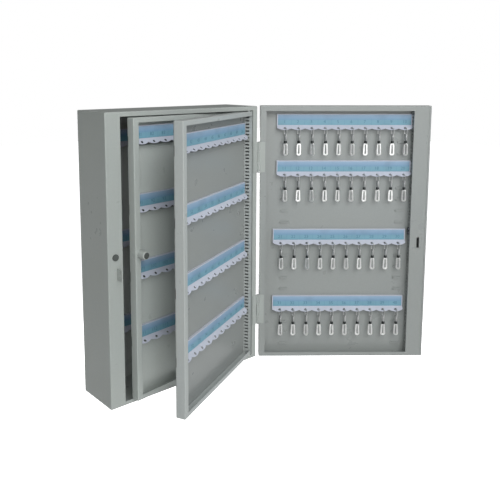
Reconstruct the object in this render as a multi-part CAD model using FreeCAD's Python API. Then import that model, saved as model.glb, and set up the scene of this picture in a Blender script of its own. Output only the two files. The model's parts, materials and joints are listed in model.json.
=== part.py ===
"""Wall key cabinet with a lockable door and two swing panels.

Sheet-steel wall box, a tray-shaped door on two butt hinges and two tray-shaped swing panels
that turn on corner pins inside the box. Back, panels and door carry hook rails with number
cards, and every hook on the door carries a swivel key clip. The door lock is a cylinder whose
driver pin throws a sliding bolt through the window of a strike on the left stile.

Lengths are millimetres. Each piece is drawn with everything closed, in cabinet coordinates:
x to the right from the middle, y back from the front face of the frame, z up from the bottom.
Panels and the door are drawn flat in their own coordinates: x from one side edge, y from the
front of the tray into its depth, z up. The finished piece is turned to the stored, half-open
position and shifted, so that the origin is the middle of the four wall fixings.
"""
import FreeCAD, Part
import math
import os
from FreeCAD import Vector

# ---- driving dimensions ---------------------------------------------------------------
WIDTH = 362.0
HEIGHT = 550.0
DEPTH = 100.0
SHELL_SHEET = 1.5
LEFT_STILE = 30.7
RIGHT_STILE = 12.5
TOP_RAIL = 8.7
BOTTOM_RAIL = 7.5
STILE_RETURN = 7.5
FOLD_RADIUS = 2.0

WALL_HOLE_RADIUS = 3.5
WALL_HOLE_SPACING_X = 260.0
WALL_HOLE_SPACING_Z = 400.0

DOOR_WIDTH = 360.7
DOOR_HEIGHT = 551.0
DOOR_THICKNESS = 21.5
DOOR_SHEET = 1.5
DOOR_GAP = 2.64
DOOR_HINGE_LIP = 13.0
DOOR_FREE_LIP = 4.0
DOOR_TOP_LIP = 11.0
DOOR_BOTTOM_LIP = 8.5
DOOR_CHANNEL = 36.0
DOOR_OPEN = 140.5

LEAF_WIDTH = 302.0
LEAF_HEIGHT = 530.3
LEAF_BOTTOM = 9.0
LEAF_SHEET = 1.2
LEAF_END_LIP = 9.0
LEAF_FREE_LIP = 12.0
LEAF_HINGE_X = 165.5
LEAF_A = {"front": -1.0, "thickness": 19.0, "open": 25.3, "top_rail": 515.3}
LEAF_B = {"front": 20.0, "thickness": 17.5, "open": 7.2, "top_rail": 524.0}
PIVOT_INSET = 5.3
PIVOT_DEPTH = 5.6
PIVOT_PIN_RADIUS = 2.5
RUNNING_CLEARANCE = 0.05

HINGE_PIN_X = 183.7
HINGE_PIN_Y = -DOOR_GAP / 2.0
HINGE_LENGTH = 64.0
HINGE_BOTTOMS = {"lower": 76.0, "upper": 410.0}
KNUCKLE_RADIUS = 2.7
HINGE_PIN_RADIUS = 1.55
HINGE_SHEET = 1.1
HINGE_LEAF_WIDTH = 13.0
KNUCKLE_END = 20.0
KNUCKLE_GAP = 0.4

HOOK_COUNT = 10
HOOK_PITCH = 28.4
RAIL_LENGTH = 288.0
RAIL_SHEET = 1.0
RAIL_STANDOFF = 5.0
RAIL_FACE = 24.0
APRON_ANGLE = 47.0
APRON_LENGTH = 13.5
SCALLOP_RADIUS = 27.0
HOOK_HOLE_RADIUS = 2.75
HOOK_HOLE_REACH = 8.6
FOLD_OVERLAP = 0.35
CARD_THICKNESS = 0.4
LANCE_PITCH = 25.0
LANCE_BELOW_TOP = 10.0

DOOR_RAIL_TOPS = [532.5, 432.5, 282.5, 132.5]
DOOR_RAIL_STARTS = [36.5, 36.5, 30.0, 30.0]
DOOR_LANCE_COLUMNS = [54.5, 304.5]
LEAF_RAIL_STEP = 125.0
LEAF_RAIL_START = 7.5
LEAF_LANCE_COLUMNS = [52.0, 250.0]
BACK_RAIL_TOPS = [510.0, 310.0, 135.0]
BACK_LANCE_COLUMNS = [-110.0, 110.0]

SLOT_PITCH = 7.2
SLOT_HEIGHT = 3.0
SLOT_LENGTH = 8.8

LOCK_ACROSS = 342.2
LOCK_HEIGHT = 279.0
BARREL_RADIUS = 9.4
BARREL_FLANGE_RADIUS = 11.5
BARREL_FLANGE = 3.0
BARREL_END = 8.0
PLUG_RADIUS = 6.0
DRIVER_REACH = 4.0
DRIVER_RADIUS = 1.5
BOLT_FRONT = 5.4
BOLT_SHEET = 2.0

STRIKE_X = -161.5
STRIKE_HEIGHT = 256.5
STRIKE_TALL = 21.0
STRIKE_SHEET = 2.0
STRIKE_REACH = 16.0

KNOB_RADIUS = 7.8
KNOB_TIP_RADIUS = 5.8
KNOB_LENGTH = 17.5
KNOB_INSET = 10.8
KNOB_HEIGHT = 290.5

CLIP_WIRE = 0.8
CLIP_HALF_WIDTH = 3.4
CLIP_TURN = 42.0
CLIP_ASIDE = 0.9
CLIP_RING_TOP = 0.6
CLIP_RING_BOTTOM = -13.8
CLIP_BODY_BOTTOM = -26.6
CLIP_STEM_BOTTOM = -32.2
CLIP_LOOP_BOTTOM = -58.0
CLIP_LOOP_TWISTS = [34.0, 46.0, 22.0, 40.0, 58.0, 28.0, 50.0]

# ---- sizes that follow ----------------------------------------------------------------
OPENING_LEFT = -WIDTH / 2.0 + LEFT_STILE
OPENING_RIGHT = WIDTH / 2.0 - RIGHT_STILE
OPENING_TOP = HEIGHT - TOP_RAIL
DOOR_FLOOR = DOOR_THICKNESS - DOOR_SHEET
DOOR_HINGE_X = DOOR_WIDTH / 2.0 + 0.25
DOOR_BOTTOM = (HEIGHT - DOOR_HEIGHT) / 2.0
CHANNEL_START = DOOR_WIDTH - DOOR_CHANNEL
LEAF_FREE_X = LEAF_HINGE_X - LEAF_WIDTH
PIVOT_X = LEAF_HINGE_X - PIVOT_INSET
BOLT_THROW = 2.0 * DRIVER_REACH * math.sin(math.radians(45.0))
APRON_OUT = math.sin(math.radians(APRON_ANGLE))
APRON_DOWN = math.cos(math.radians(APRON_ANGLE))
UP = Vector(0, 0, 1)
INTO_DEPTH = Vector(0, 1, 0)


# ---- small building blocks ------------------------------------------------------------
def block(x0, x1, y0, y1, z0, z1):
    return Part.makeBox(x1 - x0, y1 - y0, z1 - z0, Vector(x0, y0, z0))


def rod_z(x, y, z0, z1, radius):
    return Part.makeCylinder(radius, z1 - z0, Vector(x, y, z0), UP)


def rod_y(x, y0, y1, z, radius):
    return Part.makeCylinder(radius, y1 - y0, Vector(x, y0, z), INTO_DEPTH)


def rod_x(x0, x1, y, z, radius):
    return Part.makeCylinder(radius, x1 - x0, Vector(x0, y, z), Vector(1, 0, 0))


def joined(shapes):
    """One clean solid from shapes that touch or overlap."""
    whole = shapes[0]
    if len(shapes) > 1:
        whole = shapes[0].fuse(shapes[1:])
    return whole.removeSplitter()


def without(shape, cutters):
    return shape.cut(Part.makeCompound(cutters))


def edges_where(shape, test):
    return [edge for edge in shape.Edges if test(edge.BoundBox)]


def tray(width, height, depth, sheet, lips):
    """Folded sheet tray that is open to the front; lips are left, right, bottom and top."""
    left, right, bottom, top = lips
    outer = block(0, width, 0, depth, 0, height)
    outer = outer.makeFillet(FOLD_RADIUS * 0.75, outer.Edges)
    cavity = block(sheet, width - sheet, sheet, depth - sheet, sheet, height - sheet)
    mouth = block(left, width - right, -1.0, 2.0 * sheet, bottom, height - top)
    return outer.cut(cavity).cut(mouth)


def slots_through_x(x, y_middle, z0, z1, skip=None):
    """Cutters for a ladder of short slots through a sheet that faces along x."""
    cutters = []
    count = int((z1 - z0) / SLOT_PITCH)
    for index in range(count + 1):
        z = z0 + index * SLOT_PITCH
        if skip and skip[0] < z < skip[1]:
            continue
        cutters.append(block(x - 3.0, x + 3.0, y_middle - SLOT_LENGTH / 2.0,
                             y_middle + SLOT_LENGTH / 2.0, z, z + SLOT_HEIGHT))
    return cutters


def lance(x, surface, z):
    """Bridge pressed up from a panel; a rail's hanger tab drops behind its bar."""
    bar = block(x - 8.5, x + 8.5, surface - 2.6, surface - 1.4, z - 1.7, z + 1.7)
    left_foot = block(x - 8.5, x - 5.5, surface - 1.4, surface, z - 1.7, z + 1.7)
    right_foot = block(x + 5.5, x + 8.5, surface - 1.4, surface, z - 1.7, z + 1.7)
    return [bar, left_foot, right_foot]


def lance_columns(columns, surface, start, lowest, highest):
    """Bridges every pitch up and down each column, in step with the rail at start."""
    pieces = []
    steps_down = int((start - lowest) / LANCE_PITCH)
    steps_up = int((highest - start) / LANCE_PITCH)
    for x in columns:
        for step in range(-steps_down, steps_up + 1):
            pieces.extend(lance(x, surface, start + step * LANCE_PITCH))
    return pieces


# ---- hook rails, cards and key clips, in panel coordinates ----------------------------
def hook_points(start, surface, top):
    """Middle of each hook hole of a rail."""
    first = start + (RAIL_LENGTH - (HOOK_COUNT - 1) * HOOK_PITCH) / 2.0
    y = surface - RAIL_STANDOFF + RAIL_SHEET / 2.0 - HOOK_HOLE_REACH * APRON_OUT
    z = top - RAIL_FACE - HOOK_HOLE_REACH * APRON_DOWN
    return [Vector(first + index * HOOK_PITCH, y, z) for index in range(HOOK_COUNT)]


def scalloped_apron():
    """Flat apron blank with one lobe and one hole per hook: x along, z down from the fold."""
    band = block(0, RAIL_LENGTH, -RAIL_SHEET, 0, -4.0, 0)
    first = (RAIL_LENGTH - (HOOK_COUNT - 1) * HOOK_PITCH) / 2.0
    length = APRON_LENGTH + FOLD_OVERLAP
    centre = SCALLOP_RADIUS - length
    hole_z = -HOOK_HOLE_REACH - FOLD_OVERLAP
    lobes = []
    holes = []
    for index in range(HOOK_COUNT):
        x = first + index * HOOK_PITCH
        lobes.append(rod_y(x, -RAIL_SHEET, 0, centre, SCALLOP_RADIUS))
        holes.append(rod_y(x, -RAIL_SHEET - 1.0, 1.0, hole_z, HOOK_HOLE_RADIUS))
    blank = joined([band] + lobes)
    kept = block(0, RAIL_LENGTH, -RAIL_SHEET - 1.0, 1.0, -length - 1.0, 0)
    return without(blank.common(kept), holes)


def rail(start, surface, top, columns):
    """Hook rail: top flange on the panel, card face, apron folded out, two hanger tabs."""
    face_front = surface - RAIL_STANDOFF
    flange = block(start, start + RAIL_LENGTH, face_front, surface, top - RAIL_SHEET, top)
    face = block(start, start + RAIL_LENGTH, face_front, face_front + RAIL_SHEET,
                 top - RAIL_FACE, top)
    apron = scalloped_apron()
    apron.translate(Vector(start, face_front + RAIL_SHEET, top - RAIL_FACE + FOLD_OVERLAP))
    fold = Vector(start, face_front + RAIL_SHEET / 2.0, top - RAIL_FACE)
    apron.rotate(fold, Vector(1, 0, 0), -APRON_ANGLE)
    tabs = [block(x - 4.0, x + 4.0, surface - 1.2, surface - 0.2, top - 15.0, top - 0.5)
            for x in columns]
    return joined([flange, face, apron] + tabs)


def card(start, surface, top):
    """Printed number card on the face of a rail."""
    front = surface - RAIL_STANDOFF - CARD_THICKNESS
    return block(start + 1.0, start + RAIL_LENGTH - 1.0, front, front + CARD_THICKNESS,
                 top - RAIL_FACE + 0.6, top - 0.6)


def oblong_ring(half_width, bottom, top, wire):
    """Closed wire ring in the xz plane with round ends; its middle line is given."""
    upper_start = Vector(-half_width, 0, top - half_width)
    upper_mid = Vector(0, 0, top)
    upper_end = Vector(half_width, 0, top - half_width)
    lower_start = Vector(half_width, 0, bottom + half_width)
    lower_mid = Vector(0, 0, bottom)
    lower_end = Vector(-half_width, 0, bottom + half_width)
    path = Part.Wire([
        Part.Arc(upper_start, upper_mid, upper_end).toShape(),
        Part.makeLine(upper_end, lower_start),
        Part.Arc(lower_start, lower_mid, lower_end).toShape(),
        Part.makeLine(lower_end, upper_start)])
    section = Part.Wire(Part.makeCircle(wire, upper_start, UP))
    return path.makePipeShell([section], True, False)


def clip_hook():
    """Snap hook of a key clip, hung so that one side passes through the hook hole at z 0."""
    ring = oblong_ring(CLIP_HALF_WIDTH, CLIP_RING_BOTTOM, CLIP_RING_TOP, CLIP_WIRE)
    body = block(-3.5, 3.5, -1.4, 1.4, CLIP_BODY_BOTTOM, CLIP_RING_BOTTOM + 0.6)
    body = body.makeFillet(1.1, edges_where(body, lambda b: b.YLength > 2.0))
    stem = rod_z(0, 0, CLIP_STEM_BOTTOM + 1.0, CLIP_BODY_BOTTOM + 1.0, 1.0)
    return joined([ring, body, stem])


def clip_loop():
    """Key loop of a clip: flat oblong link under a collar that turns on the hook's stem."""
    top = CLIP_STEM_BOTTOM + 0.4
    plate = block(-5.0, 5.0, -1.25, 1.25, CLIP_LOOP_BOTTOM, top)
    plate = plate.makeFillet(3.2, edges_where(plate, lambda b: b.YLength > 2.0))
    window = block(-1.9, 1.9, -3.0, 3.0, CLIP_LOOP_BOTTOM + 3.0, top - 3.4)
    window = window.makeFillet(1.7, edges_where(window, lambda b: b.YLength > 2.0))
    collar = rod_z(0, 0, top - 0.8, CLIP_BODY_BOTTOM - 0.2, 3.3)
    bore = rod_z(0, 0, CLIP_STEM_BOTTOM + 0.9, 0, 1.0 + RUNNING_CLEARANCE)
    return joined([plate, collar]).cut(window).cut(bore)


def hung(pattern, start, surface, top, twists):
    """Copies of a clip piece on every hook of a rail, each twisted in turn about its stem."""
    turn = math.radians(CLIP_TURN)
    offset = Vector(CLIP_HALF_WIDTH * math.sin(turn) - CLIP_ASIDE,
                    -CLIP_HALF_WIDTH * math.cos(turn), 0)
    pieces = []
    for index, hole in enumerate(hook_points(start, surface, top)):
        piece = pattern.copy()
        piece.rotate(Vector(0, 0, 0), UP, CLIP_TURN - 90.0 + twists[index % len(twists)])
        piece.translate(hole + offset)
        pieces.append(piece)
    return Part.makeCompound(pieces)


# ---- cabinet --------------------------------------------------------------------------
def cabinet_shell():
    """Wrap of four walls with the front frame folded from it."""
    body = block(-WIDTH / 2.0, WIDTH / 2.0, 0, DEPTH, 0, HEIGHT)
    rounded = edges_where(body, lambda b: b.YMax < 0.1 or b.YLength > DEPTH - 0.1)
    body = body.makeFillet(FOLD_RADIUS, rounded)
    sheet = SHELL_SHEET
    body = body.cut(block(-WIDTH / 2.0 + sheet, WIDTH / 2.0 - sheet, sheet, DEPTH + 1.0,
                          sheet, HEIGHT - sheet))
    body = body.cut(block(OPENING_LEFT, OPENING_RIGHT, -1.0, sheet + 1.0,
                          BOTTOM_RAIL, OPENING_TOP))
    left_return = block(OPENING_LEFT - sheet, OPENING_LEFT, sheet / 2.0, sheet + STILE_RETURN,
                        BOTTOM_RAIL, OPENING_TOP)
    right_return = block(OPENING_RIGHT, OPENING_RIGHT + sheet, sheet / 2.0,
                         sheet + STILE_RETURN, BOTTOM_RAIL, OPENING_TOP)
    slit = block(STRIKE_X - STRIKE_SHEET / 2.0 - 0.1, STRIKE_X + STRIKE_SHEET / 2.0 + 0.1,
                 -1.0, sheet + 1.0, STRIKE_HEIGHT - STRIKE_TALL / 2.0 - 0.1,
                 STRIKE_HEIGHT + STRIKE_TALL / 2.0 + 0.1)
    return joined([body, left_return, right_return]).cut(slit)


def back_panel():
    """Rear sheet with the wall fixing holes and two columns of rail bridges."""
    sheet = SHELL_SHEET
    panel = block(-WIDTH / 2.0 + sheet, WIDTH / 2.0 - sheet, DEPTH - sheet, DEPTH,
                  sheet, HEIGHT - sheet)
    bridges = []
    for top in BACK_RAIL_TOPS:
        for step in (-2, -1, 0, 1):
            z = top - LANCE_BELOW_TOP + step * LANCE_PITCH
            if z < HEIGHT - 20.0:
                for x in BACK_LANCE_COLUMNS:
                    bridges.extend(lance(x, DEPTH - sheet, z))
    holes = [rod_y(sx * WALL_HOLE_SPACING_X / 2.0, DEPTH - 5.0, DEPTH + 5.0,
                   HEIGHT / 2.0 + sz * WALL_HOLE_SPACING_Z / 2.0, WALL_HOLE_RADIUS)
             for sx in (-1, 1) for sz in (-1, 1)]
    return without(joined([panel] + bridges), holes)


def pivot_plate(z0, z1):
    """Block in the hinge-side corner with one bore for each swing panel."""
    plate = block(148.0, 178.0, SHELL_SHEET, 38.0, z0, z1)
    bores = [rod_z(PIVOT_X, leaf["front"] + PIVOT_DEPTH, z0 - 1.0, z1 + 1.0,
                   PIVOT_PIN_RADIUS + RUNNING_CLEARANCE) for leaf in (LEAF_A, LEAF_B)]
    return without(plate, bores)


def pivot_washers():
    """Wear washers that carry the swing panels on the lower pivot plate."""
    washers = []
    for leaf in (LEAF_A, LEAF_B):
        y = leaf["front"] + PIVOT_DEPTH
        disc = rod_z(PIVOT_X, y, BOTTOM_RAIL, LEAF_BOTTOM - 0.1, 5.5)
        bore = rod_z(PIVOT_X, y, 0, LEAF_BOTTOM, PIVOT_PIN_RADIUS + RUNNING_CLEARANCE)
        washers.append(disc.cut(bore))
    return Part.makeCompound(washers)


def strike_tab():
    """Strike: flange behind the left stile, nose through a slit, window for the bolt."""
    half = STRIKE_SHEET / 2.0
    low = STRIKE_HEIGHT - STRIKE_TALL / 2.0
    high = STRIKE_HEIGHT + STRIKE_TALL / 2.0
    nose = block(STRIKE_X - half, STRIKE_X + half, -STRIKE_REACH, SHELL_SHEET + 1.0, low, high)
    front = edges_where(nose, lambda b: b.YMax < -STRIKE_REACH + 0.1 and b.XLength > 1.0)
    nose = nose.makeFillet(4.0, front)
    flange = block(STRIKE_X - 13.0, STRIKE_X + half, SHELL_SHEET, SHELL_SHEET + 2.0, low, high)
    window = block(STRIKE_X - 3.0, STRIKE_X + 3.0, -11.5, -6.5,
                   STRIKE_HEIGHT - 6.0, STRIKE_HEIGHT + 6.0)
    return joined([nose, flange]).cut(window)


def door_buffer():
    """Rubber buffer on the stile, opposite the lock channel."""
    disc = rod_y(-165.4, -2.3, 0, 288.0, 6.2)
    return disc.makeFillet(0.8, edges_where(disc, lambda b: b.YMax < -2.2))


# ---- butt hinges ----------------------------------------------------------------------
def knuckle(z0, z1):
    return rod_z(HINGE_PIN_X, HINGE_PIN_Y, z0, z1, KNUCKLE_RADIUS)


def hinge_bore(z0):
    return rod_z(HINGE_PIN_X, HINGE_PIN_Y, z0 - 1.0, z0 + HINGE_LENGTH + 1.0,
                 HINGE_PIN_RADIUS + RUNNING_CLEARANCE)


def hinge_frame_leaf(z0):
    """Leaf on the right stile with the two end knuckles."""
    right = HINGE_PIN_X - 0.5
    middle = (z0 + KNUCKLE_END, z0 + HINGE_LENGTH - KNUCKLE_END)
    plate = block(right - HINGE_LEAF_WIDTH, right, -HINGE_SHEET, 0, z0, z0 + HINGE_LENGTH)
    relief = block(HINGE_PIN_X - 3.4, right + 1.0, -HINGE_SHEET - 1.0, 1.0,
                   middle[0], middle[1])
    ends = [knuckle(z0, middle[0]), knuckle(middle[1], z0 + HINGE_LENGTH)]
    return joined([plate.cut(relief)] + ends).cut(hinge_bore(z0))


def hinge_door_leaf(z0):
    """Leaf on the door's hinge lip with the middle knuckle."""
    right = HINGE_PIN_X - 0.5
    low = z0 + KNUCKLE_END + KNUCKLE_GAP
    high = z0 + HINGE_LENGTH - KNUCKLE_END - KNUCKLE_GAP
    plate = block(right - HINGE_LEAF_WIDTH, right, -DOOR_GAP, -DOOR_GAP + HINGE_SHEET,
                  z0, z0 + HINGE_LENGTH)
    reliefs = [block(HINGE_PIN_X - 3.4, right + 1.0, -DOOR_GAP - 1.0, 0, z0 - 1.0, low),
               block(HINGE_PIN_X - 3.4, right + 1.0, -DOOR_GAP - 1.0, 0,
                     high, z0 + HINGE_LENGTH + 1.0)]
    return joined([without(plate, reliefs), knuckle(low, high)]).cut(hinge_bore(z0))


def hinge_pin(z0):
    z1 = z0 + HINGE_LENGTH
    shank = rod_z(HINGE_PIN_X, HINGE_PIN_Y, z0 - 1.2, z1 + 1.2, HINGE_PIN_RADIUS)
    foot = rod_z(HINGE_PIN_X, HINGE_PIN_Y, z0 - 1.2, z0 - 0.1, 2.5)
    head = rod_z(HINGE_PIN_X, HINGE_PIN_Y, z1 + 0.1, z1 + 1.2, 2.5)
    return joined([shank, foot, head])


# ---- door, in door coordinates: x from the hinge edge, y in from the rim --------------
def door_tray():
    """Door skin folded into a tray, with rail bridges and the lock hole."""
    lips = (DOOR_HINGE_LIP, DOOR_CHANNEL, DOOR_BOTTOM_LIP, DOOR_TOP_LIP)
    shell = tray(DOOR_WIDTH, DOOR_HEIGHT, DOOR_THICKNESS, DOOR_SHEET, lips)
    channel_mouth = block(CHANNEL_START, DOOR_WIDTH - DOOR_FREE_LIP, -1.0, DOOR_SHEET,
                          DOOR_SHEET, DOOR_HEIGHT - DOOR_SHEET)
    bridges = lance_columns(DOOR_LANCE_COLUMNS, DOOR_FLOOR,
                            DOOR_RAIL_TOPS[2] - LANCE_BELOW_TOP, 20.0, DOOR_HEIGHT - 20.0)
    lock_hole = rod_y(LOCK_ACROSS, 0, DOOR_THICKNESS + 1.0, LOCK_HEIGHT, BARREL_RADIUS + 0.1)
    return joined([shell.cut(channel_mouth)] + bridges).cut(lock_hole)


def door_channel_cover():
    """Cover of the lock channel with the slot that the strike enters."""
    cover = block(CHANNEL_START, DOOR_WIDTH - DOOR_FREE_LIP - 0.4, 0, DOOR_SHEET,
                  DOOR_SHEET, DOOR_HEIGHT - DOOR_SHEET)
    across = DOOR_HINGE_X - STRIKE_X
    slot = block(across - 2.85, across + 2.85, -1.0, DOOR_SHEET + 1.0,
                 STRIKE_HEIGHT - 11.35, STRIKE_HEIGHT + 11.35)
    return cover.cut(slot)


def door_slot_strip():
    """Inner wall of the lock channel, with a ladder of slots and the lock screw holes."""
    wall = block(CHANNEL_START, CHANNEL_START + DOOR_SHEET, DOOR_SHEET, DOOR_FLOOR,
                 DOOR_SHEET, DOOR_HEIGHT - DOOR_SHEET)
    middle = (DOOR_SHEET + DOOR_FLOOR) / 2.0
    cutters = slots_through_x(CHANNEL_START, middle, DOOR_BOTTOM_LIP + 4.0,
                              DOOR_HEIGHT - DOOR_TOP_LIP - 6.0, (262.0, 290.0))
    for z in LOCK_SCREW_HEIGHTS:
        cutters.append(rod_x(CHANNEL_START - 1.0, CHANNEL_START + 3.0, 10.0, z, 1.7))
    return without(wall, cutters)


LOCK_SCREW_HEIGHTS = [276.0, 284.2]


def lock_screws():
    """Two pan-head screws that hold the lock guide to the channel's inner wall."""
    screws = []
    for z in LOCK_SCREW_HEIGHTS:
        head = rod_x(CHANNEL_START - 3.2, CHANNEL_START, 10.0, z, 3.8)
        head = head.makeFillet(1.2, edges_where(head, lambda b: b.XMax < CHANNEL_START - 3.1))
        slot = block(CHANNEL_START - 4.0, CHANNEL_START - 2.3, 5.0, 15.0, z - 0.5, z + 0.5)
        shank = rod_x(CHANNEL_START - 0.5, CHANNEL_START + 5.0, 10.0, z, 1.6)
        screws.append(joined([head.cut(slot), shank]))
    return Part.makeCompound(screws)


def lock_guide():
    """Bracket on the channel's inner wall that the bolt slides behind."""
    x0 = CHANNEL_START + DOOR_SHEET
    flange = block(x0, x0 + 1.5, 2.7, 14.0, 267.5, 292.0)
    plate = block(x0, 352.0, 2.7, 4.2, 267.5, 292.0)
    upper_rib = block(x0, 352.0, 4.0, 7.6, 289.3, 292.0)
    lower_rib = block(341.6, 352.0, 4.0, 7.6, 269.0, 272.7)
    holes = [rod_x(x0 - 1.0, x0 + 3.0, 10.0, z, 1.7) for z in LOCK_SCREW_HEIGHTS]
    return without(joined([flange, plate, upper_rib, lower_rib]), holes)


def lock_barrel():
    """Lock body with its outside flange."""
    body = rod_y(LOCK_ACROSS, BARREL_END, DOOR_THICKNESS, LOCK_HEIGHT, BARREL_RADIUS)
    flange = rod_y(LOCK_ACROSS, DOOR_THICKNESS, DOOR_THICKNESS + BARREL_FLANGE, LOCK_HEIGHT,
                   BARREL_FLANGE_RADIUS)
    rim = edges_where(flange, lambda b: b.YMin > DOOR_THICKNESS + BARREL_FLANGE - 0.1)
    bore = rod_y(LOCK_ACROSS, 0, 40.0, LOCK_HEIGHT, PLUG_RADIUS + RUNNING_CLEARANCE)
    return joined([body, flange.makeFillet(1.2, rim)]).cut(bore)


def lock_nut():
    """Hexagon nut that clamps the lock body to the door skin."""
    corners = [Vector(LOCK_ACROSS + 13.2 * math.cos(math.radians(60.0 * k)), DOOR_FLOOR - 4.0,
                      LOCK_HEIGHT + 13.2 * math.sin(math.radians(60.0 * k)))
               for k in range(7)]
    hexagon = Part.Face(Part.makePolygon(corners)).extrude(Vector(0, 4.0, 0))
    return hexagon.cut(rod_y(LOCK_ACROSS, 0, 40.0, LOCK_HEIGHT, BARREL_RADIUS + 0.05))


def lock_plug():
    """Cylinder plug with a key slot outside and an eccentric driver pin inside."""
    front = DOOR_THICKNESS + BARREL_FLANGE
    body = rod_y(LOCK_ACROSS, BARREL_END, front, LOCK_HEIGHT, PLUG_RADIUS)
    turn = math.radians(-45.0)
    driver = rod_y(LOCK_ACROSS + DRIVER_REACH * math.sin(turn), 4.9, BARREL_END + 1.0,
                   LOCK_HEIGHT + DRIVER_REACH * math.cos(turn), DRIVER_RADIUS)
    key_slot = block(LOCK_ACROSS - 0.9, LOCK_ACROSS + 0.9, front - 9.0, front + 1.0,
                     LOCK_HEIGHT - 3.8, LOCK_HEIGHT + 3.8)
    return joined([body, driver]).cut(key_slot)


def lock_bolt():
    """Sliding bolt, drawn back: slotted head, arm and the finger that enters the strike."""
    middle = LOCK_ACROSS - BOLT_THROW / 2.0
    y0 = BOLT_FRONT
    y1 = BOLT_FRONT + BOLT_SHEET
    head = block(middle - 6.0, middle + 6.0, y0, y1, LOCK_HEIGHT - 6.0, LOCK_HEIGHT + 10.0)
    foot = STRIKE_HEIGHT - 3.0
    arm = block(329.6, 334.6, y0, y1, foot, LOCK_HEIGHT - 2.0)
    finger = block(334.0, 339.8, y0, y1, foot, foot + 6.0)
    slot = block(middle - DRIVER_RADIUS - 0.3, middle + DRIVER_RADIUS + 0.3, 0, 10.0,
                 LOCK_HEIGHT + 0.7, LOCK_HEIGHT + 6.1)
    return joined([head, arm, finger]).cut(slot)


# ---- swing panels, in panel coordinates: x from the free edge, y in from the lips -----
def leaf_tray(leaf):
    """Swing panel folded into a tray; its hinge side is closed by the slot strip."""
    thickness = leaf["thickness"]
    lips = (LEAF_FREE_LIP, LEAF_SHEET, LEAF_END_LIP, LEAF_END_LIP)
    shell = tray(LEAF_WIDTH, LEAF_HEIGHT, thickness, LEAF_SHEET, lips)
    hinge_side = block(LEAF_WIDTH - LEAF_SHEET, LEAF_WIDTH + 1.0, -1.0, thickness + 1.0,
                       -1.0, LEAF_HEIGHT + 1.0)
    start = leaf["top_rail"] - LEAF_BOTTOM - LANCE_BELOW_TOP
    bridges = []
    for index in range(4):
        for x in LEAF_LANCE_COLUMNS:
            bridges.extend(lance(x, thickness - LEAF_SHEET, start - index * LEAF_RAIL_STEP))
    pin_hole = rod_z(LEAF_WIDTH - PIVOT_INSET, PIVOT_DEPTH, -1.0, LEAF_HEIGHT + 1.0,
                     PIVOT_PIN_RADIUS + RUNNING_CLEARANCE)
    return joined([shell.cut(hinge_side)] + bridges).cut(pin_hole)


def leaf_a_tray():
    """Front swing panel, with a hole in its back sheet for the rear panel's knob."""
    hole = rod_y(KNOB_INSET, LEAF_A["thickness"] - 3.0, LEAF_A["thickness"] + 1.0,
                 KNOB_HEIGHT - LEAF_BOTTOM, KNOB_RADIUS + 1.5)
    return leaf_tray(LEAF_A).cut(hole)


def leaf_slot_strip(leaf):
    """Slotted hinge-side wall of a swing panel."""
    thickness = leaf["thickness"]
    strip = block(LEAF_WIDTH - LEAF_SHEET, LEAF_WIDTH, 0, thickness, 0, LEAF_HEIGHT)
    cutters = slots_through_x(LEAF_WIDTH, 10.4, 12.0, LEAF_HEIGHT - 14.0)
    return without(strip, cutters)


def leaf_pivot_pins():
    """Pins welded into the corners of a swing panel, below and above."""
    x = LEAF_WIDTH - PIVOT_INSET
    lower = rod_z(x, PIVOT_DEPTH, 2.2 - LEAF_BOTTOM, 8.0, PIVOT_PIN_RADIUS)
    upper = rod_z(x, PIVOT_DEPTH, LEAF_HEIGHT - 8.0, HEIGHT - 2.2 - LEAF_BOTTOM,
                  PIVOT_PIN_RADIUS)
    return Part.makeCompound([lower, upper])


def leaf_b_knob():
    """Finger knob on the rear panel's free lip."""
    z = KNOB_HEIGHT - LEAF_BOTTOM
    knob = rod_y(KNOB_INSET, -KNOB_LENGTH, 0, z, KNOB_RADIUS)
    return knob.makeFillet(1.5, edges_where(knob, lambda b: b.YMax < -KNOB_LENGTH + 0.1))


def leaf_b_knob_tip():
    """Rubber pad in the end of the knob."""
    z = KNOB_HEIGHT - LEAF_BOTTOM
    return rod_y(KNOB_INSET, -KNOB_LENGTH - 0.6, -KNOB_LENGTH, z, KNOB_TIP_RADIUS)


def leaf_b_knob_screw():
    """Screw head behind the lip that holds the knob."""
    z = KNOB_HEIGHT - LEAF_BOTTOM
    return rod_y(KNOB_INSET - 2.4, LEAF_SHEET, LEAF_SHEET + 1.6, z, 3.2)


# ---- placing --------------------------------------------------------------------------
def shifted(shape):
    shape.translate(Vector(0, -DEPTH, -HEIGHT / 2.0))
    return shape


def on_cabinet(shape):
    return shifted(shape.copy())


def turned_with_door(shape):
    """From closed cabinet coordinates to the door's stored angle."""
    piece = shape.copy()
    piece.rotate(Vector(HINGE_PIN_X, HINGE_PIN_Y, 0), UP, DOOR_OPEN)
    return shifted(piece)


def on_door(shape):
    """From door coordinates: the door faces the cabinet, so it is drawn turned about z."""
    piece = shape.copy()
    piece.rotate(Vector(0, 0, 0), UP, 180.0)
    piece.translate(Vector(DOOR_HINGE_X, -DOOR_GAP, DOOR_BOTTOM))
    return turned_with_door(piece)


def on_leaf(leaf):
    """Placer for one swing panel, from panel coordinates to its stored angle."""
    def place(shape):
        piece = shape.copy()
        piece.translate(Vector(LEAF_FREE_X, leaf["front"], LEAF_BOTTOM))
        axis = Vector(PIVOT_X, leaf["front"] + PIVOT_DEPTH, 0)
        piece.rotate(axis, UP, leaf["open"])
        return shifted(piece)
    return place


def save(name, shape):
    shape.exportStep(os.path.join("parts", name + ".step"))
    print(name, len(shape.Solids), "solids", round(shape.Volume / 1000.0, 2), "cm3",
          "valid" if shape.isValid() else "NOT VALID")


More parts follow.
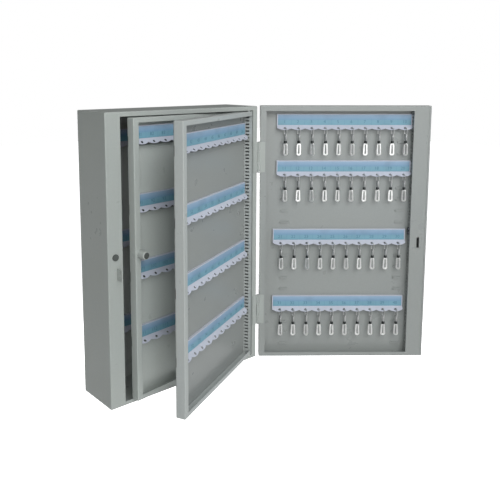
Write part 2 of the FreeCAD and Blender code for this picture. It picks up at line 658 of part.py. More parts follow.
def save_cabinet():
    save("cabinet_shell", on_cabinet(cabinet_shell()))
    save("back_panel", on_cabinet(back_panel()))
    save("pivot_plate_bottom", on_cabinet(pivot_plate(SHELL_SHEET, BOTTOM_RAIL)))
    save("pivot_plate_top", on_cabinet(pivot_plate(OPENING_TOP, HEIGHT - SHELL_SHEET)))
    save("pivot_washers", on_cabinet(pivot_washers()))
    save("strike_tab", on_cabinet(strike_tab()))
    save("door_buffer", on_cabinet(door_buffer()))
    surface = DEPTH - SHELL_SHEET
    start = -RAIL_LENGTH / 2.0
    for number, top in enumerate(BACK_RAIL_TOPS, 1):
        save("back_rail_%d" % number, on_cabinet(rail(start, surface, top, BACK_LANCE_COLUMNS)))
    cards = [card(start, surface, top) for top in BACK_RAIL_TOPS]
    save("back_cards", on_cabinet(Part.makeCompound(cards)))


def save_hinges():
    for name, z0 in HINGE_BOTTOMS.items():
        save("hinge_%s_frame_leaf" % name, on_cabinet(hinge_frame_leaf(z0)))
        save("hinge_%s_pin" % name, on_cabinet(hinge_pin(z0)))
        save("hinge_%s_door_leaf" % name, turned_with_door(hinge_door_leaf(z0)))


def save_door():
    save("door_tray", on_door(door_tray()))
    save("door_channel_cover", on_door(door_channel_cover()))
    save("door_slot_strip", on_door(door_slot_strip()))
    save("lock_screws", on_door(lock_screws()))
    save("lock_guide", on_door(lock_guide()))
    save("lock_barrel", on_door(lock_barrel()))
    save("lock_nut", on_door(lock_nut()))
    save("lock_plug", on_door(lock_plug()))
    save("lock_bolt", on_door(lock_bolt()))
    hook = clip_hook()
    loop = clip_loop()
    cards = []
    for number, (start, top) in enumerate(zip(DOOR_RAIL_STARTS, DOOR_RAIL_TOPS), 1):
        level = top - DOOR_BOTTOM
        save("door_rail_%d" % number, on_door(rail(start, DOOR_FLOOR, level,
                                                   DOOR_LANCE_COLUMNS)))
        save("clip_hooks_%d" % number, on_door(hung(hook, start, DOOR_FLOOR, level, [0.0])))
        save("clip_loops_%d" % number, on_door(hung(loop, start, DOOR_FLOOR, level,
                                                    CLIP_LOOP_TWISTS)))
        cards.append(card(start, DOOR_FLOOR, level))
    save("door_cards", on_door(Part.makeCompound(cards)))


def save_leaf(name, leaf, shell):
    place = on_leaf(leaf)
    surface = leaf["thickness"] - LEAF_SHEET
    save(name + "_tray", place(shell))
    save(name + "_slot_strip", place(leaf_slot_strip(leaf)))
    save(name + "_pivot_pins", place(leaf_pivot_pins()))
    cards = []
    for index in range(4):
        top = leaf["top_rail"] - LEAF_BOTTOM - index * LEAF_RAIL_STEP
        save("%s_rail_%d" % (name, index + 1),
             place(rail(LEAF_RAIL_START, surface, top, LEAF_LANCE_COLUMNS)))
        cards.append(card(LEAF_RAIL_START, surface, top))
    save(name + "_cards", place(Part.makeCompound(cards)))


os.makedirs("parts", exist_ok=True)
save_cabinet()
save_hinges()
save_door()
save_leaf("leaf_a", LEAF_A, leaf_a_tray())
save_leaf("leaf_b", LEAF_B, leaf_tray(LEAF_B))
save("leaf_b_knob", on_leaf(LEAF_B)(leaf_b_knob()))
save("leaf_b_knob_tip", on_leaf(LEAF_B)(leaf_b_knob_tip()))
save("leaf_b_knob_screw", on_leaf(LEAF_B)(leaf_b_knob_screw()))
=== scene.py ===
import json
import math

import bmesh
import bpy
from mathutils import Matrix, Vector


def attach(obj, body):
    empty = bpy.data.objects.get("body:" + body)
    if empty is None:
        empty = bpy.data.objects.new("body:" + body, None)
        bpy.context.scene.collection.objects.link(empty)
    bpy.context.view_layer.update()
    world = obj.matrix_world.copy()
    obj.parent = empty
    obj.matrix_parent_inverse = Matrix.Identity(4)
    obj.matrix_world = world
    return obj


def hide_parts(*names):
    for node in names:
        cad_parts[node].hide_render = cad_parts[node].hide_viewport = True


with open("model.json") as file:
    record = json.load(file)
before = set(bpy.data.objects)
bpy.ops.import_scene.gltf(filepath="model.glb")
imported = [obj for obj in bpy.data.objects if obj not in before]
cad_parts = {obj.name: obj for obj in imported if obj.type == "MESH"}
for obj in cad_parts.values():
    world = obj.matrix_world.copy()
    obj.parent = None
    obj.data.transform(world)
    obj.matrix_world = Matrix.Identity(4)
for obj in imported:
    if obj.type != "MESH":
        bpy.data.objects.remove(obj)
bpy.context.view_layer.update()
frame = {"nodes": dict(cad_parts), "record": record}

NODES = frame["nodes"]
MM = 0.001

# ---- sizes of the cabinet, in mm and degrees, as in the CAD model ---------------------
HEIGHT = 550.0
DEPTH = 100.0
BACK_SHEET = 1.5
PIN = Vector((183.7, -1.32, 0.0))
DOOR_OPEN = 140.5
DOOR_CORNER = (180.6, -2.64, -0.5)
DOOR_FLOOR = 20.0
LEAF_PIVOT_ACROSS = 160.2
LEAF_PIVOT_IN = 5.6
LEAF_ACROSS = -136.5
LEAF_BOTTOM = 9.0
LEAF_A = {"front": -1.0, "surface": 17.8, "open": 25.3, "top": 506.3}
LEAF_B = {"front": 20.0, "surface": 16.3, "open": 7.2, "top": 515.0}

# Hook rails: hole spacing, and the section of card face, apron and sheet.
HOOKS = 10
PITCH = 28.4
RAIL_LENGTH = 288.0
FIRST_HOOK = (RAIL_LENGTH - (HOOKS - 1) * PITCH) / 2.0
STANDOFF = 5.0
FACE = 24.0
SHEET = 1.0
APRON = math.radians(47.0)
HOLE_REACH = 8.6

# Each rail's start along its panel, and the height of its top.
LEAF_RAIL_START = 7.5
LEAF_RAIL_STEP = 125.0
DOOR_RAILS = [(36.5, 533.0), (36.5, 433.0), (30.0, 283.0), (30.0, 133.0)]
LEAF_A_RAILS = [(LEAF_RAIL_START, LEAF_A["top"] - LEAF_RAIL_STEP * k) for k in range(4)]
LEAF_B_RAILS = [(LEAF_RAIL_START, LEAF_B["top"] - LEAF_RAIL_STEP * k) for k in range(4)]
BACK_RAILS = [(-RAIL_LENGTH / 2.0, top) for top in (510.0, 310.0, 135.0)]

# Key clips: turn of every snap hook, and the further turn of each key loop in its collar.
CLIP_TURN = 42.0
CLIP_HALF = 3.4
CLIP_ASIDE = 0.9
CLIP_TWISTS = [34.0, 46.0, 22.0, 40.0, 58.0, 28.0, 50.0]


# ---- placing: panel coordinates (x along, y into the depth, z up) to the frame --------
def turn_about(point, degrees):
    """Turn about an upright axis through a point."""
    return (Matrix.Translation(point) @ Matrix.Rotation(math.radians(degrees), 4, "Z")
            @ Matrix.Translation(-point))


ORIGIN = Matrix.Translation((0.0, -DEPTH, -HEIGHT / 2.0))
TO_METRES = Matrix.Scale(MM, 4)
ON_CABINET = TO_METRES @ ORIGIN
ON_DOOR = (ON_CABINET @ turn_about(PIN, DOOR_OPEN) @ Matrix.Translation(DOOR_CORNER)
           @ Matrix.Rotation(math.pi, 4, "Z"))


def on_leaf(leaf):
    """Place of a swing panel's own coordinates, with the panel swung out."""
    axis = Vector((LEAF_PIVOT_ACROSS, leaf["front"] + LEAF_PIVOT_IN, 0.0))
    return (ON_CABINET @ turn_about(axis, leaf["open"])
            @ Matrix.Translation((LEAF_ACROSS, leaf["front"], LEAF_BOTTOM)))


ON_LEAF_A = on_leaf(LEAF_A)
ON_LEAF_B = on_leaf(LEAF_B)


# ---- node materials -------------------------------------------------------------------
# Reach of the floor mask either side of a panel's floor, and its tones across that reach; the
# mask splits painted shade between a panel's floor and its rim.
FLOOR_REACH = 0.002
FLOOR_STOPS = [(0.1, 0.0), (0.45, 1.0), (0.62, 1.0), (0.72, 0.0)]
# Painted shadow behind an apron: millimetres below the top of the rail, and tone.
RAIL_SHADE_BELOW_TOP = [(37.5, 1.0), (35.5, 0.15), (19.0, 0.15), (17.0, 1.0)]
HALF_HEIGHT = HEIGHT * MM / 2.0
GRAIN_DEPTH = 0.0002
# Print of a card, as shares of a cell's width and of the card's height.
RULE_EDGE = 0.485
CELL_TOP = 0.56
LINE_HALF = 0.018


class Nodes:
    """Short calls for building a node material."""

    def __init__(self, name):
        self.material = bpy.data.materials.new(name)
        self.material.use_nodes = True
        self.tree = self.material.node_tree
        self.shader = self.tree.nodes["Principled BSDF"]

    def add(self, kind, **values):
        node = self.tree.nodes.new(kind)
        for key, value in values.items():
            if hasattr(node, key):
                setattr(node, key, value)
            else:
                node.inputs[key.replace("_", " ")].default_value = value
        return node

    def link(self, start, end):
        self.tree.links.new(start, end)

    def coords(self, stretch=(1.0, 1.0, 1.0)):
        place = self.add("ShaderNodeTexCoord")
        mapping = self.add("ShaderNodeMapping")
        mapping.inputs["Scale"].default_value = stretch
        self.link(place.outputs["Object"], mapping.inputs["Vector"])
        return mapping.outputs["Vector"]

    def floor_mask(self, frame_of_part, surface):
        """One on the floor of a folded panel, nought on its walls, lips and back: where the
        painted recess shade falls.
        """
        node = self.add("ShaderNodeVectorMath")
        node.operation = "DOT_PRODUCT"
        inward = (frame_of_part.to_3x3() @ Vector((0.0, 1.0, 0.0))).normalized()
        self.link(self.coords(), node.inputs[0])
        node.inputs[1].default_value = inward
        base = inward.dot(frame_of_part.translation) + surface * MM
        near = self.remap(node.outputs["Value"], base - FLOOR_REACH, base + FLOOR_REACH, 0.0, 1.0)
        return self.ramp(near, [(at, (tone,) * 3) for at, tone in FLOOR_STOPS])

    def under_rails(self, tops):
        """Painted shadow: dark bands on a panel behind the aprons of its rails."""
        split = self.add("ShaderNodeSeparateXYZ")
        self.link(self.coords(), split.inputs[0])
        height = self.remap(split.outputs["Z"], -HALF_HEIGHT, HALF_HEIGHT, 0.0, 1.0)
        stops = []
        for top in sorted(tops):
            for below, tone in RAIL_SHADE_BELOW_TOP:
                at = (top - MM * below + HALF_HEIGHT) / (2.0 * HALF_HEIGHT)
                stops.append((at, (tone,) * 3))
        return self.ramp(height, stops)

    def noise(self, scale, detail, stretch=(1.0, 1.0, 1.0)):
        node = self.add("ShaderNodeTexNoise", Scale=scale, Detail=detail, Roughness=0.5)
        self.link(self.coords(stretch), node.inputs["Vector"])
        return node.outputs["Fac"]

    def ramp(self, value, stops):
        node = self.add("ShaderNodeValToRGB")
        ramp = node.color_ramp
        while len(ramp.elements) < len(stops):
            ramp.elements.new(0.5)
        for element, (at, colour) in zip(ramp.elements, stops):
            element.position = at
            element.color = (*colour, 1.0)
        self.link(value, node.inputs["Fac"])
        return node.outputs["Color"]

    def remap(self, value, low, high, to_low, to_high):
        node = self.add("ShaderNodeMapRange")
        for index, number in enumerate((low, high, to_low, to_high), 1):
            node.inputs[index].default_value = number
        self.link(value, node.inputs[0])
        return node.outputs[0]

    def feed(self, value, socket):
        """Link a value from another node, or set it on the socket."""
        if isinstance(value, bpy.types.NodeSocket):
            self.link(value, socket)
        else:
            socket.default_value = value

    def mix(self, factor, a, b, blend="MIX"):
        node = self.add("ShaderNodeMix", data_type="RGBA", blend_type=blend)
        for index, value in ((0, factor), (6, a), (7, b)):
            self.feed(value, node.inputs[index])
        return node.outputs[2]

    def math(self, operation, a, b=0.0):
        node = self.add("ShaderNodeMath", operation=operation)
        for socket, value in zip(node.inputs, (a, b)):
            self.feed(value, socket)
        return node.outputs[0]

    def bump(self, height, strength, distance):
        node = self.add("ShaderNodeBump", Strength=strength, Distance=distance)
        self.link(height, node.inputs["Height"])
        self.link(node.outputs["Normal"], self.shader.inputs["Normal"])


def grey_level(tone):
    """Opaque neutral colour."""
    return (tone, tone, tone, 1.0)


def paint(name, colour, warm=0.012, gloss=0.29, recess=None):
    """Powder-coated sheet: faint mottling and orange peel.

    A folded panel's recess gives its place, floor depth, rails, and the painted shade tones of
    rim and floor; its floor also gets painted shadow behind the rails.
    """
    n = Nodes(name)
    low = [c * (1.0 - warm) for c in colour]
    high = [min(1.0, c * (1.0 + warm)) for c in colour]
    tint = [colour[0] * 1.006, colour[1], colour[2] * 0.988]
    broad = n.ramp(n.noise(3.2, 4.0), [(0.34, low), (0.5, tint), (0.66, high)])
    fine = n.remap(n.noise(240.0, 2.0), 0.3, 0.7, 0.985, 1.015)
    coat = n.mix(1.0, broad, fine, "MULTIPLY")
    # Painted shade: the floor darkened behind the rails and by its own tone, the rim by its own
    # tone.
    if recess:
        placed, surface, rails, rim_shade, floor_shade = recess
        tops = [(placed @ Vector((0.0, 0.0, top))).z for _, top in rails]
        shaded = n.mix(1.0, coat, n.under_rails(tops), "MULTIPLY")
        shaded = n.mix(1.0, shaded, grey_level(floor_shade), "MULTIPLY")
        edge = n.mix(1.0, coat, grey_level(rim_shade), "MULTIPLY")
        coat = n.mix(n.floor_mask(placed, surface), edge, shaded)
    n.link(coat, n.shader.inputs["Base Color"])
    n.link(n.remap(n.noise(30.0, 4.0), 0.3, 0.7, gloss - 0.02, gloss + 0.03),
           n.shader.inputs["Roughness"])
    n.shader.inputs["Specular IOR Level"].default_value = 0.45
    n.bump(n.noise(950.0, 1.5), 0.07, GRAIN_DEPTH)
    return n.material


def metal(name, colour, rough, streak=(1.0, 1.0, 1.0), spread=0.07):
    """Plated or bare metal with fine wear marks."""
    n = Nodes(name)
    dark = [c * 0.82 for c in colour]
    n.link(n.ramp(n.noise(120.0, 4.0, streak), [(0.3, dark), (0.62, colour)]),
           n.shader.inputs["Base Color"])
    n.shader.inputs["Metallic"].default_value = 1.0
    n.link(n.remap(n.noise(260.0, 3.0, streak), 0.3, 0.7, rough, rough + spread),
           n.shader.inputs["Roughness"])
    n.bump(n.noise(700.0, 2.0, streak), 0.05, GRAIN_DEPTH)
    return n.material


def soft(name, colour, rough):
    """Rubber or nylon with a fine grain."""
    n = Nodes(name)
    n.link(n.ramp(n.noise(70.0, 4.0), [(0.3, [c * 0.8 for c in colour]), (0.7, colour)]),
           n.shader.inputs["Base Color"])
    n.link(n.remap(n.noise(160.0, 3.0), 0.3, 0.7, rough - 0.06, rough + 0.08),
           n.shader.inputs["Roughness"])
    n.bump(n.noise(900.0, 2.0), 0.25, GRAIN_DEPTH)
    return n.material


def card_print():
    """Printed number strip: pale band above, teal cells below, thin rules between them."""
    n = Nodes("card_print")
    uv = n.add("ShaderNodeUVMap", uv_map="strip")
    split = n.add("ShaderNodeSeparateXYZ")
    n.link(uv.outputs["UV"], split.inputs["Vector"])
    along, up = split.outputs["X"], split.outputs["Y"]
    base = n.ramp(up, [(0.0, (0.155, 0.330, 0.420)), (0.42, (0.165, 0.335, 0.430)),
                       (0.54, (0.170, 0.310, 0.450)), (0.74, (0.215, 0.340, 0.480)),
                       (0.95, (0.265, 0.380, 0.510))])
    drift = n.remap(n.noise(24.0, 3.0), 0.3, 0.7, 0.86, 1.14)
    tone = n.mix(1.0, base, n.ramp(drift, [(0.0, (0.0,) * 3), (1.0, (1.0,) * 3)]), "MULTIPLY")
    cell = n.math("FRACT", along)
    edge = n.math("ABSOLUTE", n.math("SUBTRACT", cell, 0.5))
    rule = n.math("GREATER_THAN", edge, RULE_EDGE)
    low = n.math("LESS_THAN", up, CELL_TOP)
    ruled = n.mix(n.math("MULTIPLY", n.math("MULTIPLY", rule, low), 0.55), tone,
                  (0.10, 0.26, 0.38, 1.0))
    line = n.math("LESS_THAN", n.math("ABSOLUTE", n.math("SUBTRACT", up, CELL_TOP)), LINE_HALF)
    done = n.mix(n.math("MULTIPLY", line, 0.4), ruled, (0.12, 0.28, 0.42, 1.0))
    n.link(done, n.shader.inputs["Base Color"])
    n.link(n.remap(n.noise(60.0, 3.0), 0.3, 0.7, 0.34, 0.5), n.shader.inputs["Roughness"])
    n.bump(n.noise(500.0, 2.0), 0.08, GRAIN_DEPTH)
    return n.material


# Copies of one grey powder coat in several tones: the door darker for painted shade, the panels
# and the back lighter for painted light.
GREY = paint("grey_powder_coat", (0.345, 0.376, 0.362))
DOOR_SHADED_GREY = paint("door_coat_painted_shade", (0.278, 0.299, 0.294))
LEAF_A_LIT_GREY = paint("front_panel_coat_painted_light_and_shade", (0.385, 0.415, 0.410),
                    recess=(ON_LEAF_A, LEAF_A["surface"], LEAF_A_RAILS, 1.0, 0.68))
LEAF_B_LIT_GREY = paint("rear_panel_coat_painted_light_and_shade", (0.440, 0.480, 0.463),
                    recess=(ON_LEAF_B, LEAF_B["surface"], LEAF_B_RAILS, 0.86, 1.0))
BACK_LIT_GREY = paint("back_coat_painted_light", (0.420, 0.455, 0.440))
PALE = paint("rail_powder_coat", (0.48, 0.51, 0.59), warm=0.05, gloss=0.30)
CARD = card_print()
INK = soft("card_ink", (0.085, 0.22, 0.31), 0.6)
# One nickel in two tones: the snap hooks darker for painted shade under the rail aprons, the key
# loops lighter for painted light.
CHROME = metal("hook_nickel_painted_shade", (0.62, 0.63, 0.63), 0.34, spread=0.10)
LOOP_NICKEL_LIT = metal("loop_nickel_painted_light", (0.93, 0.94, 0.93), 0.30, spread=0.10)
LOCK_CHROME = metal("lock_nickel", (0.80, 0.81, 0.82), 0.14)
STEEL = metal("zinc_steel", (0.56, 0.57, 0.58), 0.30, (1.0, 1.0, 0.2))
BLACKENED = metal("blackened_steel", (0.10, 0.105, 0.12), 0.34)
# Near-black swivel collars: painted shade and dark reflection.
SWIVEL_PAINTED_SHADE = metal("swivel_painted_shade_and_dark_reflection", (0.055, 0.06, 0.06), 0.30)
NYLON = soft("natural_nylon", (0.66, 0.66, 0.62), 0.5)
RUBBER = soft("dark_rubber", (0.075, 0.085, 0.08), 0.7)

# The paint of a grey node depends on the first letters of its name: lighter and darker copies of
# the one grey paint light and shade on the door, the panels and the back.
BY_SLOT = {"grey_paint": GREY, "rail_paint": PALE, "number_cards": CARD,
           "clip_chrome": CHROME, "lock_chrome": LOCK_CHROME, "bare_steel": STEEL,
           "dark_screws": BLACKENED, "white_nylon": NYLON, "black_rubber": RUBBER}
GREY_BY_START = {"door_t": DOOR_SHADED_GREY, "door_c": DOOR_SHADED_GREY, "door_s": DOOR_SHADED_GREY,
                 "leaf_a": LEAF_A_LIT_GREY, "leaf_b": LEAF_B_LIT_GREY, "back_p": BACK_LIT_GREY}
for part in frame["record"]["subparts"]:
    cad = NODES[part["node"]]
    cad.data.materials.clear()
    coat = BY_SLOT[part["material_slot"]]
    if coat is GREY:
        coat = GREY_BY_START.get(part["node"][:6], GREY)
    cad.data.materials.append(coat)


# ---- mesh helpers ---------------------------------------------------------------------
def add_object(name, data):
    """New object in the scene."""
    obj = bpy.data.objects.new(name, data)
    bpy.context.scene.collection.objects.link(obj)
    return obj


def piece(name, mesh, body, material, smooth=35.0):
    """Visual piece that rides on a body; edges sharper than the smooth angle stay sharp."""
    obj = add_object(name, mesh)
    obj.data.materials.clear()
    obj.data.materials.append(material)
    mesh.shade_smooth()
    mesh.set_sharp_from_angle(angle=math.radians(smooth))
    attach(obj, body)
    return obj


def mesh_from(bm, name):
    """Mesh from a bmesh, which is freed."""
    mesh = bpy.data.meshes.new(name)
    bm.normal_update()
    bm.to_mesh(mesh)
    bm.free()
    return mesh


def add_copy(out, mesh, place):
    """Put a copy of a mesh into a bmesh, at a place."""
    before = len(out.verts)
    out.from_mesh(mesh)
    out.verts.ensure_lookup_table()
    bmesh.ops.transform(out, matrix=place, verts=out.verts[before:])


def copies(pattern, places, name):
    """One mesh holding the pattern bmesh, which is freed, at every place."""
    out = bmesh.new()
    source = mesh_from(pattern, name + "_pattern")
    for place in places:
        add_copy(out, source, place)
    bpy.data.meshes.remove(source)
    return mesh_from(out, name)


# ---- number cards ---------------------------------------------------------------------
CARD_INSET = 2.0
CARD_FOOT = 0.6
CARD_HEAD = 1.5
CARD_THICKNESS = 0.32
CARD_BOW = 0.06
CARD_WAVES = 37.0
DIGIT_SIZE = 9.6
DIGIT_FRONT = -0.42
DIGIT_RISE = 7.4
UPRIGHT = Matrix.Rotation(math.radians(90.0), 4, "X")


def card_bmesh():
    """Card with a slight bow, in rail coordinates, and its print coordinates."""
    bm = bmesh.new()
    uv = bm.loops.layers.uv.new("strip")
    across, up = 60, 6
    x0, x1, z0, z1 = CARD_INSET, RAIL_LENGTH - CARD_INSET, -FACE + CARD_FOOT, -CARD_HEAD
    grid = []
    for side, y in ((0, -CARD_THICKNESS), (1, 0.0)):
        rows = []
        for i in range(across + 1):
            u = i / across
            row = []
            for k in range(up + 1):
                v = k / up
                bow = 0.0
                if side == 0:
                    bow = abs(CARD_BOW * math.sin(u * CARD_WAVES) * math.sin(v * math.pi))
                row.append(bm.verts.new((x0 + (x1 - x0) * u, y - bow, z0 + (z1 - z0) * v)))
            rows.append(row)
        grid.append(rows)
    for side in (0, 1):
        for i in range(across):
            for k in range(up):
                g = grid[side]
                quad = [g[i][k], g[i + 1][k], g[i + 1][k + 1], g[i][k + 1]]
                bm.faces.new(quad if side == 0 else quad[::-1])
    rim = ([(i, 0) for i in range(across)] + [(across, k) for k in range(up)]
           + [(i, up) for i in range(across, 0, -1)] + [(0, k) for k in range(up, 0, -1)])
    for index, (i, k) in enumerate(rim):
        j, m = rim[(index + 1) % len(rim)]
        bm.faces.new([grid[0][j][m], grid[0][i][k], grid[1][i][k], grid[1][j][m]])
    for face in bm.faces:
        for loop in face.loops:
            x, _, z = loop.vert.co
            loop[uv].uv = ((x - FIRST_HOOK) / PITCH + 0.5, (z - z0) / (z1 - z0))
    return bm


def number_mesh(text):
    """Flat digits, centred on their origin."""
    curve = bpy.data.curves.new("digits", "FONT")
    curve.body = text
    curve.size = DIGIT_SIZE
    curve.align_x = "CENTER"
    curve.align_y = "CENTER"
    curve.extrude = 0.03
    curve.resolution_u = 2
    holder = add_object("digits", curve)
    bpy.context.view_layer.update()
    mesh = bpy.data.meshes.new_from_object(
        holder.evaluated_get(bpy.context.evaluated_depsgraph_get()))
    bpy.data.objects.remove(holder)
    return mesh


def dress_rails(body, tag, place, rails, surface, first_number):
    """Cards and printed numbers for the rails of one panel."""
    spots = [place @ Matrix.Translation((start, surface - STANDOFF, top)) for start, top in rails]
    name = "number_cards_" + tag
    cards = piece(name, copies(card_bmesh(), spots, name), body, CARD)
    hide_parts(tag + "_cards")
    out = bmesh.new()
    number = first_number
    for spot in spots:
        for index in range(HOOKS):
            digits = number_mesh(str(number))
            at = Matrix.Translation((FIRST_HOOK + index * PITCH, DIGIT_FRONT,
                                     -FACE + DIGIT_RISE))
            add_copy(out, digits, spot @ at @ UPRIGHT)
            bpy.data.meshes.remove(digits)
            number += 1
    name = "printed_numbers_" + tag
    piece(name, mesh_from(out, name), body, INK)


dress_rails("door", "door", ON_DOOR, DOOR_RAILS, DOOR_FLOOR, 1)
dress_rails("leaf_a", "leaf_a", ON_LEAF_A, LEAF_A_RAILS, LEAF_A["surface"], 41)
dress_rails("leaf_b", "leaf_b", ON_LEAF_B, LEAF_B_RAILS, LEAF_B["surface"], 81)
dress_rails("cabinet", "back", ON_CABINET, BACK_RAILS, DEPTH - BACK_SHEET, 121)


# ---- swivel key clips -----------------------------------------------------------------
CLIP_SMOOTH = 50.0
LOOP_NECK = -33.0
LOOP_TOP_WIDTH = 0.86
LOOP_FLARE = 0.011


def oblong(half, bottom, top, corner, steps):
    """Points and outward normals round a closed oblong in the xz plane."""
    path = []
    middles = [(half - corner, top - corner, 0.0), (corner - half, top - corner, 90.0),
               (corner - half, bottom + corner, 180.0), (half - corner, bottom + corner, 270.0)]
    for x, z, first in middles:
        for k in range(steps + 1):
            a = math.radians(first + 90.0 * k / steps)
            path.append((x + corner * math.cos(a), z + corner * math.sin(a),
                         math.cos(a), math.sin(a)))
    return path


def rounded_section(half_width, half_depth, power=2.0, count=16):
    """Closed superellipse section as (across, y) pairs."""
    points = []
    for k in range(count):
        a = 2.0 * math.pi * k / count
        c, s = math.cos(a), math.sin(a)
        points.append((half_width * math.copysign(abs(c) ** (2.0 / power), c),
                       half_depth * math.copysign(abs(s) ** (2.0 / power), s)))
    return points


def skin(bm, rings, closed):
    """Faces between rings of vertices; open rings are capped at both ends."""
    count = len(rings[0])
    last = len(rings) if closed else len(rings) - 1
    for i in range(last):
        a, b = rings[i], rings[(i + 1) % len(rings)]
        for k in range(count):
            bm.faces.new((a[k], a[(k + 1) % count], b[(k + 1) % count], b[k]))
    if not closed:
        bm.faces.new(rings[0][::-1])
        bm.faces.new(rings[-1])


def swept_link(bm, path, section):
    """Closed link: a section carried round a path of points and normals."""
    rings = [[bm.verts.new((x + nx * r, y, z + nz * r)) for r, y in section]
             for x, z, nx, nz in path]
    skin(bm, rings, True)


def lofted(bm, stations, power=2.6, count=20, aside=0.0):
    """Upright body from (z, half width, half depth) stations."""
    rings = []
    for z, width, depth in stations:
        rings.append([bm.verts.new((aside + x, y, z))
                      for x, y in rounded_section(width, depth, power, count)])
    skin(bm, rings, False)


def snap_hook():
    """Wire bow with its gate, over a cast body with a thumb lever and a stem."""
    bm = bmesh.new()
    swept_link(bm, oblong(CLIP_HALF, -13.8, 0.6, CLIP_HALF, 9), rounded_section(0.8, 0.8))
    lofted(bm, [(-12.6, 1.6, 1.0), (-13.2, 2.9, 1.3), (-14.4, 3.4, 1.4), (-17.0, 3.5, 1.4),
                (-20.5, 3.2, 1.4), (-23.5, 2.7, 1.4), (-25.6, 2.5, 1.35), (-26.4, 2.1, 1.15),
                (-26.6, 1.5, 0.9)])
    lofted(bm, [(-15.4, 0.3, 0.3), (-15.9, 0.8, 1.5), (-17.8, 0.9, 2.2), (-19.6, 0.8, 1.9),
                (-21.6, 0.4, 0.9)], 2.2, 12, 1.5)
    lofted(bm, [(-26.0, 1.0, 1.0), (-31.2, 1.0, 1.0)], 2.0, 16)
    bmesh.ops.recalc_face_normals(bm, faces=bm.faces)
    return bm


def swivel_bead():
    """Turned collar between hook and loop."""
    bm = bmesh.new()
    lofted(bm, [(-26.8, 2.1, 2.1), (-27.1, 2.7, 2.7), (-27.9, 3.2, 3.2), (-28.6, 3.3, 3.3),
                (-29.0, 2.9, 2.9), (-29.4, 2.9, 2.9), (-29.8, 3.3, 3.3), (-30.8, 3.25, 3.25),
                (-31.8, 2.9, 2.9), (-32.4, 2.3, 2.3)], 2.0, 24)
    bmesh.ops.recalc_face_normals(bm, faces=bm.faces)
    return bm


def key_loop():
    """Flat pressed link that holds the keys, a little wider at its foot."""
    bm = bmesh.new()
    path = [(x * (LOOP_TOP_WIDTH - LOOP_FLARE * (z - LOOP_NECK)), z, nx, nz)
            for x, z, nx, nz in oblong(3.1, -56.2, -33.2, 2.4, 6)]
    swept_link(bm, path, rounded_section(1.9, 0.8, 4.0, 20))
    lofted(bm, [(-31.9, 1.9, 1.1), (-32.6, 3.4, 1.25), (-33.6, 4.1, 1.25), (-34.2, 3.6, 1.2)],
           3.0, 20)
    bmesh.ops.recalc_face_normals(bm, faces=bm.faces)
    return bm


def hook_spots(start, surface, top, twists):
    """Place of each clip of a door rail, hung through its hole and turned about its stem."""
    turn = math.radians(CLIP_TURN)
    offset = Vector((CLIP_HALF * math.sin(turn) - CLIP_ASIDE, -CLIP_HALF * math.cos(turn), 0.0))
    spots = []
    for index in range(HOOKS):
        hole = Vector((start + FIRST_HOOK + index * PITCH,
                       surface - STANDOFF + SHEET / 2.0 - HOLE_REACH * math.sin(APRON),
                       top - FACE - HOLE_REACH * math.cos(APRON)))
        spin = math.radians(CLIP_TURN - 90.0 + twists[index % len(twists)])
        spots.append(ON_DOOR @ Matrix.Translation(hole + offset)
                     @ Matrix.Rotation(spin, 4, "Z"))
    return spots


for row, (start, top) in enumerate(DOOR_RAILS, 1):
    body = "clips_row_%d" % row
    still = hook_spots(start, DOOR_FLOOR, top, [0.0])
    turned = hook_spots(start, DOOR_FLOOR, top, CLIP_TWISTS)
    hooks = piece("snap_hooks_row_%d" % row, copies(snap_hook(), still, "hooks"), body,
                  CHROME, CLIP_SMOOTH)
    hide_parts("clip_hooks_%d" % row)
    piece("swivel_beads_row_%d" % row, copies(swivel_bead(), turned, "beads"), body,
          SWIVEL_PAINTED_SHADE, CLIP_SMOOTH)
    loops = piece("key_loops_row_%d" % row, copies(key_loop(), turned, "loops"), body,
                  LOOP_NICKEL_LIT, CLIP_SMOOTH)
    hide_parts("clip_loops_%d" % row)


# ---- camera, floor and light ----------------------------------------------------------
# Focal length and centre of view in pixels of a 500 pixel picture; yaw, pitch and roll.
PICTURE_PX = 500.0
SENSOR_MM = 36.0
FOCAL_PX = 647.279
CENTRE_PX = (227.006, 160.0)
CAMERA = Vector((-0.742883, -1.094644, 0.34152))
ANGLES = (40.191, 7.579, 0.074)


def camera():
    """Camera at the fitted place, with the lens shift of the fitted centre of view."""
    data = bpy.data.cameras.new("camera")
    data.sensor_width = SENSOR_MM
    data.lens = FOCAL_PX / PICTURE_PX * SENSOR_MM
    data.shift_x = (PICTURE_PX / 2.0 - CENTRE_PX[0]) / PICTURE_PX
    data.shift_y = (CENTRE_PX[1] - PICTURE_PX / 2.0) / PICTURE_PX
    obj = add_object("camera", data)
    yaw, pitch, roll = [math.radians(a) for a in ANGLES]
    look = Vector((math.sin(yaw) * math.cos(pitch), math.cos(yaw) * math.cos(pitch),
                   -math.sin(pitch)))
    right = Vector((math.cos(yaw), -math.sin(yaw), 0.0))
    up = right.cross(look)
    rolled_right = right * math.cos(roll) + up * math.sin(roll)
    rolled_up = up * math.cos(roll) - right * math.sin(roll)
    turned_to = Matrix((rolled_right, rolled_up, -look)).transposed().to_4x4()
    obj.matrix_world = Matrix.Translation(CAMERA) @ turned_to
    bpy.context.scene.camera = obj


camera()

FLOOR_LEVEL = -1.15
FLOOR_HALF = 12.0


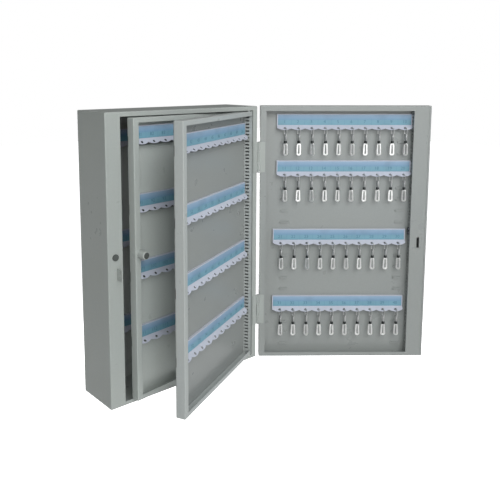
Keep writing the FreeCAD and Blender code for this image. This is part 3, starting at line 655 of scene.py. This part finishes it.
def floor():
    """Plain pale floor."""
    bm = bmesh.new()
    for sx, sy in ((-1, -1), (1, -1), (1, 1), (-1, 1)):
        bm.verts.new((sx * FLOOR_HALF, sy * FLOOR_HALF, FLOOR_LEVEL))
    bm.faces.new(bm.verts)
    obj = add_object("floor", mesh_from(bm, "floor"))
    n = Nodes("pale_floor")
    n.link(n.ramp(n.noise(0.6, 2.0), [(0.3, (0.90, 0.90, 0.90)), (0.7, (0.93, 0.93, 0.93))]),
           n.shader.inputs["Base Color"])
    n.shader.inputs["Roughness"].default_value = 0.9
    path = n.add("ShaderNodeLightPath")
    n.shader.inputs["Emission Color"].default_value = (1.0, 1.0, 1.0, 1.0)
    n.link(path.outputs["Is Camera Ray"], n.shader.inputs["Emission Strength"])
    obj.data.materials.append(n.material)


floor()


def area(name, at, target, size, power):
    """Rectangular soft light aimed at a point."""
    data = bpy.data.lights.new(name, "AREA")
    data.shape = "RECTANGLE"
    data.size, data.size_y = size
    data.energy = power
    obj = add_object(name, data)
    obj.location = at
    obj.rotation_mode = "QUATERNION"
    obj.rotation_quaternion = (Vector(target) - Vector(at)).to_track_quat("-Z", "Y")


# Name, place, target, size in metres, and power in watts.
area("key", (-0.55, -2.15, 1.6), (0.05, -0.15, 0.0), (2.2, 1.4), 48.0)
area("left_fill", (-2.4, -1.2, 1.3), (0.0, -0.15, 0.1), (1.4, 1.4), 4.0)
area("card", (-1.0, -2.3, 0.2), (0.1, -0.2, 0.0), (1.3, 1.2), 11.0)
area("back_fill", (0.5, 2.6, -0.5), (0.1, 0.0, 0.0), (2.4, 1.0), 32.0)
area("right_fill", (2.8, 1.0, -0.5), (0.3, -0.1, 0.0), (1.6, 1.0), 20.0)


def graded(tree, value, low, high, to_low, to_high, ease="LINEAR"):
    """Light level that changes with one part of the direction."""
    node = tree.nodes.new("ShaderNodeMapRange")
    node.interpolation_type = ease
    for index, number in enumerate((low, high, to_low, to_high), 1):
        node.inputs[index].default_value = number
    tree.links.new(value, node.inputs[0])
    return node.outputs[0]


def studio():
    """Soft light from all round, stronger from the front and the right, on a white ground."""
    world = bpy.data.worlds.new("studio")
    world.use_nodes = True
    tree = world.node_tree
    backdrop = tree.nodes["Background"]
    place = tree.nodes.new("ShaderNodeTexCoord")
    split = tree.nodes.new("ShaderNodeSeparateXYZ")
    tree.links.new(place.outputs["Generated"], split.inputs[0])
    from_front = graded(tree, split.outputs["Y"], -0.9, 0.75, 0.54, 0.14, "SMOOTHSTEP")
    from_right = graded(tree, split.outputs["X"], -1.0, 0.2, 0.45, 1.0)
    soft_box = tree.nodes.new("ShaderNodeMath")
    soft_box.operation = "MULTIPLY"
    tree.links.new(from_front, soft_box.inputs[0])
    tree.links.new(from_right, soft_box.inputs[1])
    path = tree.nodes.new("ShaderNodeLightPath")
    level = tree.nodes.new("ShaderNodeMix")
    tree.links.new(path.outputs["Is Camera Ray"], level.inputs[0])
    tree.links.new(soft_box.outputs[0], level.inputs[2])
    level.inputs[3].default_value = 1.0
    tree.links.new(level.outputs[0], backdrop.inputs[1])
    backdrop.inputs[0].default_value = (1.0, 1.0, 1.0, 1.0)
    return world


bpy.context.scene.world = studio()
bpy.context.scene.view_settings.view_transform = "Standard"
